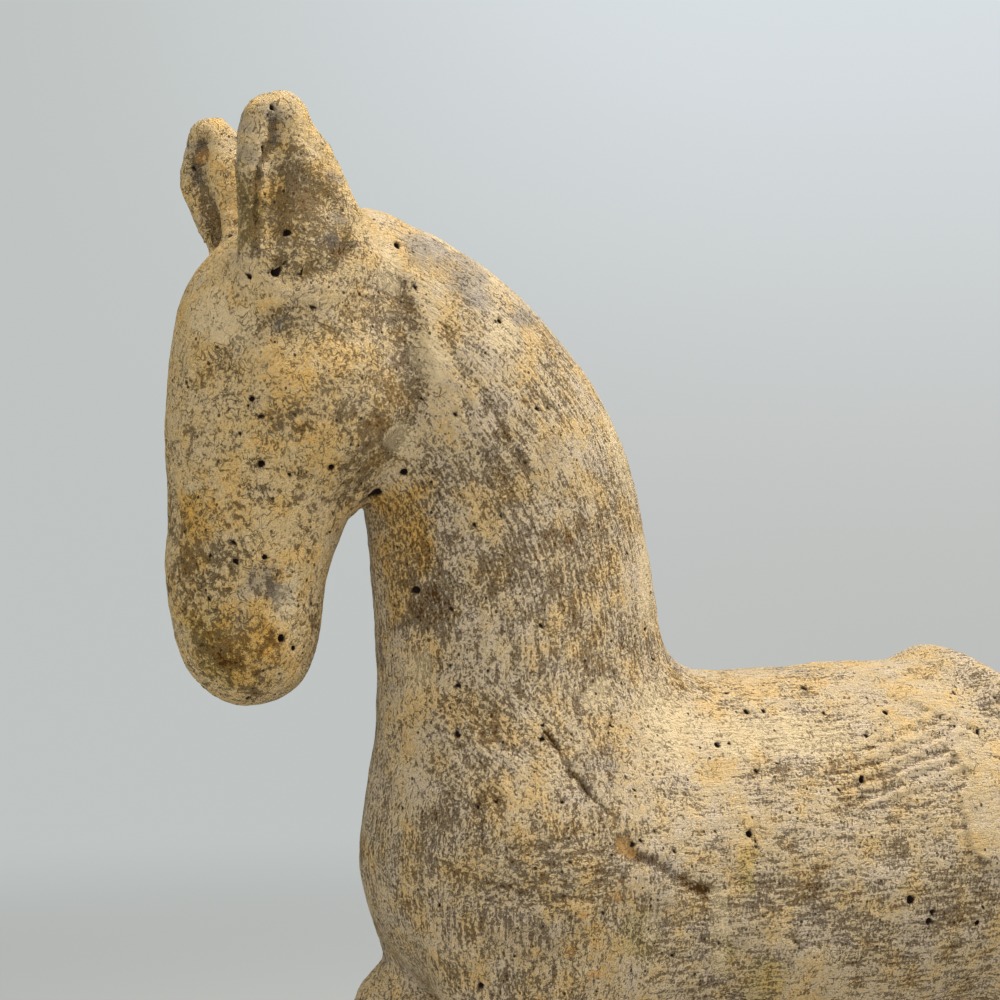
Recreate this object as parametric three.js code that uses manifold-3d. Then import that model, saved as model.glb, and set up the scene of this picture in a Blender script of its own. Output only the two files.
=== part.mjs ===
// Horse of fired clay: arched neck, head hanging straight down, upright ears,
// one foreleg lifted, standing on a low slab. Millimetres, +Z up, nose towards -X.
// The body is a blend of limbs. A limb is a chain of elliptical sections.

import * as THREE from 'three';
import { mergeVertices } from 'three/addons/utils/BufferGeometryUtils.js';
import Module from 'manifold-3d';

// ---------------------------------------------------------------- dimensions

const SLAB_LENGTH = 256;
const SLAB_WIDTH = 104;
const SLAB_HEIGHT = 13;
const SLAB_CORNER = 24;
const SLAB_EDGE = 3;
const SLAB_MIDDLE = 10;

// Sections: [fore-aft, across, height, half depth, half width]
const TRUNK = [
  [-66, 0, 204, 43, 41],
  [-45, 0, 198, 55, 46],
  [-10, 0, 196, 62.5, 50],
  [25, 0, 197, 62.5, 51],
  [60, 0, 200.5, 60, 51],
  [104, 0, 203, 51, 44],
];
const NECK = [
  [-66, 0, 212, 44, 42],
  [-67.5, 0, 240, 44.2, 37],
  [-69, 0, 268, 44, 33.5],
  [-72, 0, 295, 43, 31],
  [-77, 0, 318, 41, 29.5],
  [-89.5, 0, 340, 37.2, 28],
  [-105, 0, 355.5, 34.5, 26],
  [-121, 0, 365, 32, 24],
];
const HEAD = [
  [-137, 0, 357, 37, 26],
  [-139.5, 0, 342, 37, 27],
  [-147, 0, 325, 29.6, 25],
  [-151.4, 0, 306, 24.8, 21.5],
  [-153.6, 0, 290, 23, 19.5],
  [-152.8, 0, 275, 20.8, 18.2],
  [-151.8, 0, 270.6, 17.6, 15.5],
];
const STANDING_FORELEG = [
  [-74, 24, 182, 30, 20],
  [-73, 28, 150, 19, 15],
  [-74, 29, 118, 13.5, 12],
  [-75, 29, 96, 12, 11.5],
  [-74, 29, 70, 9.5, 9.5],
  [-74, 29, 42, 9.5, 9.5],
  [-76, 29, 32, 11, 10.5],
  [-80, 29, 20, 12, 12],
];
const LIFTED_FORELEG = [
  [-74, 24, 188, 30, 20],
  [-85, 29, 166.5, 16.5, 15],
  [-98.5, 30, 153, 13, 12.5],
  [-96, 30, 138, 10.5, 10.5],
  [-88, 30, 115, 9.5, 9.5],
  [-83, 30, 99, 10.5, 10],
  [-84, 30, 88, 12, 11.5],
];
const HIND_LEG = [
  [110, 26, 192, 40, 24],
  [107, 30, 160, 27, 19],
  [111, 31, 130, 18, 15],
  [121, 31, 104, 13, 12],
  [120, 31, 80, 10.5, 10],
  [114, 31, 48, 9.8, 9.6],
  [111, 31, 34, 11.5, 10.5],
  [106, 31, 20, 12.5, 12],
];
const TAIL = [
  [140, 0, 234, 15, 15],
  [152, 0, 231, 11.5, 12],
  [159, 0, 214, 10.5, 11],
  [157, 0, 188, 9.5, 10],
  [150, 0, 166, 8, 8],
];
// Low ridge across the back behind the seat, sweeping down and back at its ends
const SEAT_RIDGE = [
  [103, -44, 218, 6, 6],
  [94, -34, 238, 8, 8],
  [82, -18, 250, 9.5, 9.5],
  [75, 0, 255, 10, 10],
  [82, 18, 250, 9.5, 9.5],
  [94, 34, 238, 8, 8],
  [103, 44, 218, 6, 6],
];

// Ears: a leaf, the rolled rim in front of it and the groove between them
const NEAR_EAR = {
  leaf: [
    [-141.4, -19.6, 378, 19, 10],
    [-143.6, -20, 392, 16.8, 8.5],
    [-145.8, -19.5, 404, 13.6, 7.4],
    [-148.3, -19.3, 412, 10.6, 6.6],
    [-149.5, -19.5, 418, 9.2, 6.4],
  ],
  rim: [
    [-154.5, -21.5, 383.5, 5.2, 5.2],
    [-155.6, -20.5, 396, 4.8, 4.8],
    [-157.1, -19.5, 408, 4.4, 4.4],
    [-155.8, -19.4, 417.5, 4, 4],
  ],
  groove: [
    [-154.5, -29.5, 384, 2.8, 4],
    [-153.5, -28.2, 396, 2.8, 3.8],
    [-152.5, -27.2, 407, 2.6, 3.4],
    [-151.5, -26, 416, 2.3, 2.8],
  ],
};
const FAR_EAR = {
  leaf: [
    [-147, 19, 374, 12, 9],
    [-147.5, 22.5, 390, 11, 8.5],
    [-149, 25, 404, 11.2, 8],
    [-152, 26.5, 413.5, 8.6, 6.8],
    [-154.5, 27.5, 419.4, 5.8, 5.4],
  ],
  rim: [
    [-150, 27, 382, 3.4, 4.4],
    [-153.2, 28.2, 389, 3.5, 4.6],
    [-157.6, 29.6, 395.5, 3.8, 5],
    [-161, 30, 405, 4, 5.4],
    [-160.6, 29.6, 413.5, 4, 5.2],
    [-157.2, 29, 420.6, 4.2, 4.8],
  ],
  groove: [
    [-153.5, 22, 386, 2.2, 2.6],
    [-157.5, 23, 394, 2.4, 2.6],
    [-161, 23.5, 402, 2.5, 2.6],
    [-162.6, 24.4, 410, 2.5, 2.5],
    [-161.5, 24.4, 417, 2.2, 2.3],
  ],
};

// Rounded masses: centre and half sizes
const BREAST = { centre: [-70, 0, 206], size: [40.5, 46, 42] };
const SHOULDER = { centre: [-52, 24, 196], size: [30, 25, 44] };
const CHEEK = { centre: [-134, 17, 343], size: [24, 13, 24] };

// Widths over which neighbouring masses run into each other
const BLEND = {
  breast: 10, shoulder: 14, neck: 22, haunch: 16, foreleg: 12,
  tail: 8, ridge: 7, cheek: 8, throat: 4, ear: 7, rim: 3, groove: 2.5,
};

// Grid lines the surface is drawn from: [end of the stretch, spacing inside it]
const GRID_X = { start: -190, stretches: [[-120, 4.7], [-60, 7.8], [136, 10], [186, 7.5]] };
const GRID_Y = {
  start: -63.5,
  stretches: [[-34, 7.4], [-8, 5.2], [8, 8], [34, 5.2], [63.5, 7.4]],
};
const GRID_Z = { start: -4, stretches: [[52, 8.4], [252, 9.6], [378, 8.2], [442, 4.6]] };

const SECTIONS_PER_STATION = 5;

// ------------------------------------------------------------ limbs and masses

function makeLimb(stations) {
  const path = new THREE.CatmullRomCurve3(
    stations.map(([x, y, z]) => new THREE.Vector3(x, y, z)), false, 'catmullrom');
  const girth = new THREE.CatmullRomCurve3(
    stations.map(([, , , depth, width]) => new THREE.Vector3(depth, width, 0)), false, 'catmullrom');
  const count = (stations.length - 1) * SECTIONS_PER_STATION;
  const centres = path.getPoints(count);
  const sizes = girth.getPoints(count);
  const links = [];
  for (let i = 0; i < count; i += 1) {
    const axis = centres[i + 1].clone().sub(centres[i]);
    links.push({
      from: centres[i],
      axis,
      lengthSquared: axis.lengthSq(),
      depth: [sizes[i].x, sizes[i + 1].x],
      width: [sizes[i].y, sizes[i + 1].y],
    });
  }
  return links;
}

// Distance to the nearest section of a limb, below zero inside it
function limbDistance(links, x, y, z) {
  let best = Infinity;
  for (const { from, axis, lengthSquared, depth, width } of links) {
    const px = x - from.x;
    const py = y - from.y;
    const pz = z - from.z;
    const along = (px * axis.x + py * axis.y + pz * axis.z) / lengthSquared;
    const t = Math.min(1, Math.max(0, along));
    const dx = px - t * axis.x;
    const dy = py - t * axis.y;
    const dz = pz - t * axis.z;
    const r = depth[0] + t * (depth[1] - depth[0]);
    const w = width[0] + t * (width[1] - width[0]);
    const inPlane = dx * dx + dz * dz;
    const across = dy * dy;
    const scaled = Math.sqrt(inPlane / r ** 2 + across / w ** 2);
    const slope = Math.sqrt(inPlane / r ** 4 + across / w ** 4) + 1e-9;
    best = Math.min(best, scaled * (scaled - 1) / slope);
  }
  return best;
}

function massDistance({ centre, size }, side, x, y, z) {
  const qx = (x - centre[0]) / size[0];
  const qy = (y - side * centre[1]) / size[1];
  const qz = (z - centre[2]) / size[2];
  const scaled = Math.hypot(qx, qy, qz);
  const slope = Math.hypot(qx / size[0], qy / size[1], qz / size[2]) + 1e-9;
  return scaled * (scaled - 1) / slope;
}

function blend(a, b, width) {
  const h = Math.max(width - Math.abs(a - b), 0) / width;
  return Math.min(a, b) - h * h * width * 0.25;
}

function carve(a, b, width) {
  return -blend(-a, b, width);
}

const trunk = makeLimb(TRUNK);
const neck = makeLimb(NECK);
const head = makeLimb(HEAD);
const standingForeleg = makeLimb(STANDING_FORELEG.map(([x, y, z, r, w]) => [x, -y, z, r, w]));
const liftedForeleg = makeLimb(LIFTED_FORELEG);
const hindLegs = [-1, 1].map((side) => makeLimb(HIND_LEG.map(([x, y, z, r, w]) => [x, side * y, z, r, w])));
const tail = makeLimb(TAIL);
const seatRidge = makeLimb(SEAT_RIDGE);
const ears = [NEAR_EAR, FAR_EAR].map(({ leaf, rim, groove }) => ({
  leaf: makeLimb(leaf),
  rim: makeLimb(rim),
  groove: makeLimb(groove),
}));

function earDistance({ leaf, rim, groove }, x, y, z) {
  const body = blend(limbDistance(leaf, x, y, z), limbDistance(rim, x, y, z), BLEND.rim);
  return carve(body, limbDistance(groove, x, y, z), BLEND.groove);
}

function horseDistance(x, y, z) {
  let d = limbDistance(trunk, x, y, z);
  d = blend(d, massDistance(BREAST, 1, x, y, z), BLEND.breast);
  for (const side of [-1, 1]) {
    d = blend(d, massDistance(SHOULDER, side, x, y, z), BLEND.shoulder);
  }
  d = blend(d, limbDistance(neck, x, y, z), BLEND.neck);
  for (const leg of hindLegs) {
    d = blend(d, limbDistance(leg, x, y, z), BLEND.haunch);
  }
  for (const leg of [standingForeleg, liftedForeleg]) {
    d = blend(d, limbDistance(leg, x, y, z), BLEND.foreleg);
  }
  d = blend(d, limbDistance(tail, x, y, z), BLEND.tail);
  d = blend(d, limbDistance(seatRidge, x, y, z), BLEND.ridge);
  let skull = limbDistance(head, x, y, z);
  for (const side of [-1, 1]) {
    skull = blend(skull, massDistance(CHEEK, side, x, y, z), BLEND.cheek);
  }
  d = blend(d, skull, BLEND.throat);
  for (const ear of ears) {
    d = blend(d, earDistance(ear, x, y, z), BLEND.ear);
  }
  return d;
}

// ---------------------------------------------------------- drawing the surface

function gridLines({ start, stretches }) {
  const lines = [start];
  for (const [end, spacing] of stretches) {
    const from = lines[lines.length - 1];
    const count = Math.round((end - from) / spacing);
    for (let i = 1; i <= count; i += 1) {
      lines.push(from + (end - from) * i / count);
    }
  }
  return lines;
}

// The twelve edges of a grid cell: edge number axis * 4 + da + 2 * db runs along its
// axis from the corner moved da and db along the next two axes
const CELL_EDGES = [];
for (let axis = 0; axis < 3; axis += 1) {
  for (let db = 0; db < 2; db += 1) {
    for (let da = 0; da < 2; da += 1) {
      const from = [0, 0, 0];
      from[(axis + 1) % 3] = da;
      from[(axis + 2) % 3] = db;
      const to = [...from];
      to[axis] = 1;
      CELL_EDGES.push({ from, to });
    }
  }
}

function liesOnFace({ from, to }, axis, side) {
  return from[axis] === side && to[axis] === side;
}

// Sorts a cell's crossed edges into loops, one loop for each sheet of the surface.
// Edges on one face of the cell belong together; where all four are crossed, the
// two that meet at a corner inside the body do.
function sheetsOfCell(isInside) {
  const sheet = CELL_EDGES.map(({ from, to }, n) => (isInside(from) !== isInside(to) ? n : -1));
  const unite = (a, b) => {
    const [keep, drop] = [sheet[a], sheet[b]];
    sheet.forEach((value, n) => {
      if (value === drop) {
        sheet[n] = keep;
      }
    });
  };
  const innerCorner = (n) => {
    const { from, to } = CELL_EDGES[n];
    return (isInside(from) ? from : to).join();
  };
  for (let axis = 0; axis < 3; axis += 1) {
    for (let side = 0; side < 2; side += 1) {
      const crossed = CELL_EDGES.map((edge, n) => n)
        .filter((n) => sheet[n] >= 0 && liesOnFace(CELL_EDGES[n], axis, side));
      if (crossed.length === 2) {
        unite(crossed[0], crossed[1]);
      } else if (crossed.length === 4) {
        const [first, ...others] = crossed;
        const partner = others.find((n) => innerCorner(n) === innerCorner(first));
        const rest = others.filter((n) => n !== partner);
        unite(first, partner);
        unite(rest[0], rest[1]);
      }
    }
  }
  return sheet;
}

// One vertex for every sheet of the surface in every grid cell, moved onto the
// surface, and one four-sided face round every grid edge the surface crosses
function drawSurface(distance, xs, ys, zs) {
  const at = (i, j, k) => (i * ys.length + j) * zs.length + k;
  const values = new Float64Array(xs.length * ys.length * zs.length);
  xs.forEach((x, i) => ys.forEach((y, j) => zs.forEach((z, k) => {
    values[at(i, j, k)] = distance(x, y, z);
  })));

  const verticesOfCell = new Map();
  const positions = [];
  const crossing = (i, j, k, { from, to }) => {
    const va = values[at(i + from[0], j + from[1], k + from[2])];
    const vb = values[at(i + to[0], j + to[1], k + to[2])];
    const a = new THREE.Vector3(xs[i + from[0]], ys[j + from[1]], zs[k + from[2]]);
    const b = new THREE.Vector3(xs[i + to[0]], ys[j + to[1]], zs[k + to[2]]);
    return a.lerp(b, va / (va - vb));
  };
  for (let i = 0; i < xs.length - 1; i += 1) {
    for (let j = 0; j < ys.length - 1; j += 1) {
      for (let k = 0; k < zs.length - 1; k += 1) {
        const isInside = ([di, dj, dk]) => values[at(i + di, j + dj, k + dk)] < 0;
        if (CELL_EDGES.some(({ from, to }) => isInside(from) !== isInside(to))) {
          const sheet = sheetsOfCell(isInside);
          const vertices = sheet.map(() => -1);
          for (const name of new Set(sheet.filter((value) => value >= 0))) {
            const members = sheet.flatMap((value, n) => (value === name ? [n] : []));
            const sum = new THREE.Vector3();
            members.forEach((n) => sum.add(crossing(i, j, k, CELL_EDGES[n])));
            members.forEach((n) => {
              vertices[n] = positions.length / 3;
            });
            positions.push(...settle(distance, sum.divideScalar(members.length)).toArray());
          }
          verticesOfCell.set(at(i, j, k), vertices);
        }
      }
    }
  }

  const indices = [];
  const addFace = (corners, flipped) => {
    const [a, b, c, d] = flipped ? [...corners].reverse() : corners;
    const p = [a, b, c, d].map((n) => new THREE.Vector3().fromArray(positions, 3 * n));
    if (p[0].distanceTo(p[2]) <= p[1].distanceTo(p[3])) {
      indices.push(a, b, c, a, c, d);
    } else {
      indices.push(a, b, d, b, c, d);
    }
  };
  for (let i = 1; i < xs.length - 1; i += 1) {
    for (let j = 1; j < ys.length - 1; j += 1) {
      for (let k = 1; k < zs.length - 1; k += 1) {
        const here = values[at(i, j, k)] < 0;
        for (let axis = 0; axis < 3; axis += 1) {
          const next = [i, j, k];
          next[axis] += 1;
          const there = values[at(...next)] < 0;
          if (here !== there) {
            const vertex = (da, db) => {
              const cell = [i, j, k];
              cell[(axis + 1) % 3] -= da;
              cell[(axis + 2) % 3] -= db;
              return verticesOfCell.get(at(...cell))[axis * 4 + da + 2 * db];
            };
            addFace([vertex(1, 1), vertex(0, 1), vertex(0, 0), vertex(1, 0)], there);
          }
        }
      }
    }
  }
  const geometry = new THREE.BufferGeometry();
  geometry.setAttribute('position', new THREE.Float32BufferAttribute(positions, 3));
  geometry.setIndex(indices);
  return geometry;
}

// Moves a point along the slope of the distance until it lies on the surface
function settle(distance, point) {
  const e = 0.2;
  const longest = 3;
  for (let pass = 0; pass < 3; pass += 1) {
    const { x, y, z } = point;
    const slope = new THREE.Vector3(
      distance(x + e, y, z) - distance(x - e, y, z),
      distance(x, y + e, z) - distance(x, y - e, z),
      distance(x, y, z + e) - distance(x, y, z - e)).divideScalar(2 * e);
    const step = distance(x, y, z) / Math.max(slope.lengthSq(), 0.25);
    point.addScaledVector(slope, -THREE.MathUtils.clamp(step, -longest, longest));
  }
  return point;
}

// ------------------------------------------------------------------------ slab

function makeSlab() {
  const halfLength = SLAB_LENGTH / 2 - SLAB_EDGE;
  const halfWidth = SLAB_WIDTH / 2 - SLAB_EDGE;
  const corner = SLAB_CORNER - SLAB_EDGE;
  const outline = new THREE.Shape();
  outline.absarc(halfLength - corner, halfWidth - corner, corner, 0, Math.PI / 2);
  outline.absarc(-halfLength + corner, halfWidth - corner, corner, Math.PI / 2, Math.PI);
  outline.absarc(-halfLength + corner, -halfWidth + corner, corner, Math.PI, 1.5 * Math.PI);
  outline.absarc(halfLength - corner, -halfWidth + corner, corner, 1.5 * Math.PI, 2 * Math.PI);
  outline.closePath();
  const slab = new THREE.ExtrudeGeometry(outline, {
    depth: SLAB_HEIGHT - 2 * SLAB_EDGE,
    bevelThickness: SLAB_EDGE,
    bevelSize: SLAB_EDGE,
    bevelSegments: 2,
    curveSegments: 5,
  });
  slab.translate(SLAB_MIDDLE, 0, SLAB_EDGE);
  slab.deleteAttribute('normal');
  slab.deleteAttribute('uv');
  return mergeVertices(slab, 1e-3);
}

// ------------------------------------------------------------------- one solid

const wasm = await Module();
wasm.setup();

function toSolid(geometry) {
  return new wasm.Manifold(new wasm.Mesh({
    numProp: 3,
    vertProperties: new Float32Array(geometry.attributes.position.array),
    triVerts: new Uint32Array(geometry.index.array),
  }));
}

function toGeometry(solid) {
  const { vertProperties, triVerts } = solid.getMesh();
  const geometry = new THREE.BufferGeometry();
  geometry.setAttribute('position', new THREE.BufferAttribute(vertProperties, 3));
  geometry.setIndex(new THREE.BufferAttribute(triVerts, 1));
  return geometry;
}

const skin = drawSurface(horseDistance, gridLines(GRID_X), gridLines(GRID_Y), gridLines(GRID_Z));
const geometry = toGeometry(toSolid(skin).add(toSolid(makeSlab())));
geometry.computeBoundingBox();
const middle = geometry.boundingBox.getCenter(new THREE.Vector3());
geometry.translate(-middle.x, -middle.y, -geometry.boundingBox.min.z);
geometry.computeVertexNormals();

const clay = new THREE.MeshStandardMaterial({ color: 0xbfa98a, roughness: 0.92, metalness: 0 });
const horse = new THREE.Mesh(geometry, clay);
horse.name = 'pottery_horse';

const object = new THREE.Group();
object.add(horse);

export default object;
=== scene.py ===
"""Looks of the pottery horse: hand-worked skin, weathered slip, soft studio light."""

import math

import bmesh
import bpy
import numpy as np
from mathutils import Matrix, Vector


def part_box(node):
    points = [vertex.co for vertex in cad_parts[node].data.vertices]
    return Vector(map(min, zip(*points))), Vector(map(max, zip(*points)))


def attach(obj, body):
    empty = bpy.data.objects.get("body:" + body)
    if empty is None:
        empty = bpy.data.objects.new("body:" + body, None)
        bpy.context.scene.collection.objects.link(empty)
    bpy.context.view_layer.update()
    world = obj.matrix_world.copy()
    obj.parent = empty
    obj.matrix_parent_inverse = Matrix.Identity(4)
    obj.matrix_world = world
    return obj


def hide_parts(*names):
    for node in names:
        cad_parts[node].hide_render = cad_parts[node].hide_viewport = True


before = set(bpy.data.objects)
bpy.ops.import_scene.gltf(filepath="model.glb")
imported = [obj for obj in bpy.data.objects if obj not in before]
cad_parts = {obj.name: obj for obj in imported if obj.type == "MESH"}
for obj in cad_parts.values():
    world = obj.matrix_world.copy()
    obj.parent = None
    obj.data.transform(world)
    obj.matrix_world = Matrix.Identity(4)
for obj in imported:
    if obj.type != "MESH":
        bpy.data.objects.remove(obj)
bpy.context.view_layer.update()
cad_low, cad_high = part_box("pottery_horse")

# ------------------------------------------------------------------ shape, mm
# Sections: fore-aft, across, height, half depth, half width

TRUNK = [
    (-66, 0, 204, 43, 41), (-45, 0, 198, 55, 46), (-10, 0, 196, 62.5, 50),
    (25, 0, 197, 62.5, 51), (60, 0, 200.5, 60, 51), (104, 0, 203, 51, 44),
]
NECK = [
    (-66, 0, 212, 44, 42), (-67.5, 0, 240, 44.2, 37), (-69, 0, 268, 44, 33.5),
    (-72, 0, 295, 43, 31), (-77, 0, 318, 41, 29.5), (-89.5, 0, 340, 37.2, 28),
    (-105, 0, 355.5, 34.5, 26), (-121, 0, 365, 32, 24),
]
HEAD = [
    (-137, 0, 357, 37, 26), (-139.5, 0, 342, 37, 27), (-147, 0, 325, 29.6, 25),
    (-151.4, 0, 306, 24.8, 21.5), (-153.6, 0, 290, 23, 19.5), (-152.8, 0, 275, 20.8, 18.2),
    (-151.8, 0, 270.6, 17.6, 15.5),
]
STANDING_FORELEG = [
    (-74, -24, 182, 30, 20), (-73, -28, 150, 19, 15), (-74, -29, 118, 13.5, 12),
    (-75, -29, 96, 12, 11.5), (-74, -29, 70, 9.5, 9.5), (-74, -29, 42, 9.5, 9.5),
    (-76, -29, 32, 11, 10.5), (-80, -29, 20, 12, 12),
]
LIFTED_FORELEG = [
    (-74, 24, 188, 30, 20), (-85, 29, 166.5, 16.5, 15), (-98.5, 30, 153, 13, 12.5),
    (-96, 30, 138, 10.5, 10.5), (-88, 30, 115, 9.5, 9.5), (-83, 30, 99, 10.5, 10),
    (-84, 30, 88, 12, 11.5),
]
HIND_LEG = [
    (110, 26, 192, 40, 24), (107, 30, 160, 27, 19), (111, 31, 130, 18, 15),
    (121, 31, 104, 13, 12), (120, 31, 80, 10.5, 10), (114, 31, 48, 9.8, 9.6),
    (111, 31, 34, 11.5, 10.5), (106, 31, 20, 12.5, 12),
]
TAIL = [
    (140, 0, 234, 15, 15), (152, 0, 231, 11.5, 12), (159, 0, 214, 10.5, 11),
    (157, 0, 188, 9.5, 10), (150, 0, 166, 8, 8),
]
SEAT_RIDGE = [
    (103, -44, 218, 6, 6), (94, -34, 238, 8, 8), (82, -18, 250, 9.5, 9.5),
    (75, 0, 255, 10, 10), (82, 18, 250, 9.5, 9.5), (94, 34, 238, 8, 8),
    (103, 44, 218, 6, 6),
]
NEAR_EAR = {
    "leaf": [(-141.4, -19.6, 378, 19, 10), (-143.6, -20, 392, 16.8, 8.5),
             (-145.8, -19.5, 404, 13.6, 7.4), (-148.3, -19.3, 412, 10.6, 6.6),
             (-149.5, -19.5, 418, 9.2, 6.4)],
    "rim": [(-154.5, -21.5, 383.5, 5.2, 5.2), (-155.6, -20.5, 396, 4.8, 4.8),
            (-157.1, -19.5, 408, 4.4, 4.4), (-155.8, -19.4, 417.5, 4, 4)],
    "groove": [(-154.5, -29.5, 384, 2.8, 4), (-153.5, -28.2, 396, 2.8, 3.8),
               (-152.5, -27.2, 407, 2.6, 3.4), (-151.5, -26, 416, 2.3, 2.8)],
}
FAR_EAR = {
    "leaf": [(-147, 19, 374, 12, 9), (-147.5, 22.5, 390, 11, 8.5), (-149, 25, 404, 11.2, 8),
             (-152, 26.5, 413.5, 8.6, 6.8), (-154.5, 27.5, 419.4, 5.8, 5.4)],
    "rim": [(-150, 27, 382, 3.4, 4.4), (-153.2, 28.2, 389, 3.5, 4.6), (-157.6, 29.6, 395.5, 3.8, 5),
            (-161, 30, 405, 4, 5.4), (-160.6, 29.6, 413.5, 4, 5.2), (-157.2, 29, 420.6, 4.2, 4.8)],
    "groove": [(-153.5, 22, 386, 2.2, 2.6), (-157.5, 23, 394, 2.4, 2.6), (-161, 23.5, 402, 2.5, 2.6),
               (-162.6, 24.4, 410, 2.5, 2.5), (-161.5, 24.4, 417, 2.2, 2.3)],
}
SLAB_SIZE, SLAB_CORNER, SLAB_EDGE, SLAB_MIDDLE = (256, 104, 13), 24, 3, 10

# Grid on which the surface is found: fine and coarse spacing, low and high corner
GRID_STEP, COARSE_STEP = 2.42, 9.68
GRID_BOX = (-194, -66, -9.68), (188, 66, 442)


def smooth(low, high, x):
    t = np.clip((x - low) / (high - low), 0, 1)
    return t * t * (3 - 2 * t)


def sections(stations, step=4.0):
    """Catmull-Rom curve through the stations."""
    p = np.asarray(stations, float)
    ext = np.vstack([2 * p[0] - p[1], p, 2 * p[-1] - p[-2]])
    out = []
    for i in range(len(p) - 1):
        a, b, c, d = ext[i:i + 4]
        n = max(2, math.ceil(np.linalg.norm((c - b)[:3]) / step))
        t = (np.arange(n) / n)[:, None]
        out.append(0.5 * (2 * b + (c - a) * t + (2 * a - 5 * b + 4 * c - d) * t**2
                          + (3 * b - a - 3 * c + d) * t**3))
    return np.vstack(out + [p[-1:]])


def limb(points, chain, far=40.0):
    """Distance to a chain of elliptical sections; `far` where it is farther than that."""
    low = (chain[:, :3] - chain[:, 3:4]).min(0) - far
    high = (chain[:, :3] + chain[:, 3:4]).max(0) + far
    near = np.all((points > low) & (points < high), axis=1)
    q = points[near]
    best = np.full(len(q), 1e9)
    for a, b in zip(chain[:-1], chain[1:]):
        axis = b[:3] - a[:3]
        t = np.clip(((q - a[:3]) @ axis) / (axis @ axis), 0, 1)
        d = q - a[:3] - t[:, None] * axis
        r = a[3] + t * (b[3] - a[3])
        w = a[4] + t * (b[4] - a[4])
        plane, across = d[:, 0]**2 + d[:, 2]**2, d[:, 1]**2
        k0 = np.sqrt(plane / r**2 + across / w**2)
        k1 = np.sqrt(plane / r**4 + across / w**4) + 1e-9
        np.minimum(best, k0 * (k0 - 1) / k1, out=best)
    out = np.full(len(points), far)
    out[near] = best
    return out


def mass(points, centre, size):
    size = np.asarray(size, float)
    q = (points - np.asarray(centre, float)) / size
    k0 = np.sqrt((q * q).sum(1))
    k1 = np.sqrt(((q / size) ** 2).sum(1)) + 1e-9
    return k0 * (k0 - 1) / k1


def blend(a, b, width):
    h = np.maximum(width - np.abs(a - b), 0) / width
    return np.minimum(a, b) - h * h * width * 0.25


def mirrored(stations):
    return [(x, -y, z, r, w) for x, y, z, r, w in stations]


CHAINS = {
    "trunk": sections(TRUNK), "neck": sections(NECK), "head": sections(HEAD),
    "fore_near": sections(STANDING_FORELEG), "fore_far": sections(LIFTED_FORELEG),
    "hind_far": sections(HIND_LEG), "hind_near": sections(mirrored(HIND_LEG)),
    "tail": sections(TAIL), "ridge": sections(SEAT_RIDGE),
}
EARS = [{part: sections(stations) for part, stations in one.items()} for one in (NEAR_EAR, FAR_EAR)]


def ear(points, parts):
    body = blend(limb(points, parts["leaf"], 25), limb(points, parts["rim"], 25), 3)
    return -blend(-body, limb(points, parts["groove"], 25), 2.5)


def slab(points):
    half = np.array(SLAB_SIZE) / 2
    q = np.abs(points - (SLAB_MIDDLE, 0, half[2]))
    corner = q[:, :2] - half[:2] + SLAB_CORNER
    side = np.hypot(*np.maximum(corner, 0).T) + np.minimum(corner.max(1), 0) - SLAB_CORNER
    pair = np.stack([side + SLAB_EDGE, q[:, 2] - half[2] + SLAB_EDGE], 1)
    return np.hypot(*np.maximum(pair, 0).T) + np.minimum(pair.max(1), 0) - SLAB_EDGE


def horse(points):
    d = limb(points, CHAINS["trunk"])
    d = blend(d, mass(points, (-70, 0, 206), (40.5, 46, 42)), 10)
    for side in (-1, 1):
        d = blend(d, mass(points, (-52, side * 24, 196), (30, 25, 44)), 14)
    d = blend(d, limb(points, CHAINS["neck"]), 22)
    for leg, width in (("hind_near", 16), ("hind_far", 16), ("fore_near", 12), ("fore_far", 12),
                       ("tail", 8), ("ridge", 7)):
        d = blend(d, limb(points, CHAINS[leg]), width)
    skull = limb(points, CHAINS["head"])
    for side in (-1, 1):
        skull = blend(skull, mass(points, (-134, side * 17, 343), (24, 13, 24)), 8)
    d = blend(d, skull, 4)
    for one in EARS:
        d = blend(d, ear(points, one), 7)
    return blend(d, slab(points), 4)


# --------------------------------------------------------------------- surface


def sample(h, coarse, low, high):
    """Distances on a grid of spacing h, worked out only in coarse cells near the surface."""
    m = round(coarse / h)
    low = np.asarray(low, float)
    n = np.ceil((np.asarray(high, float) - low) / coarse).astype(int)
    axes = [low[i] + coarse * np.arange(n[i] + 1) for i in range(3)]
    rough = horse(np.stack(np.meshgrid(*axes, indexing="ij"), -1).reshape(-1, 3)).reshape(n + 1)
    nearest = [np.minimum(np.round(np.arange(n[i] * m + 1) / m).astype(int), n[i]) for i in range(3)]
    fine = rough[np.ix_(*nearest)].astype(np.float32)
    cells = np.stack(np.meshgrid(*[np.arange(k) for k in n], indexing="ij"), -1).reshape(-1, 3)
    corners = np.stack([rough[cells[:, 0] + i, cells[:, 1] + j, cells[:, 2] + k]
                        for i in (0, 1) for j in (0, 1) for k in (0, 1)])
    band = cells[(corners.min(0) < coarse * 0.9) & (corners.max(0) > -coarse * 0.9)]
    offset = np.stack(np.meshgrid(*[np.arange(m + 1)] * 3, indexing="ij"), -1).reshape(-1, 3)
    wanted = np.zeros(fine.shape, bool)
    index = (band[:, None, :] * m + offset[None]).reshape(-1, 3)
    wanted[index[:, 0], index[:, 1], index[:, 2]] = True
    index = np.argwhere(wanted)
    values = np.concatenate([horse(low + part * (coarse / m))
                             for part in np.array_split(index, max(1, len(index) // 150000))])
    fine[index[:, 0], index[:, 1], index[:, 2]] = values
    return fine, low, coarse / m


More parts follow.
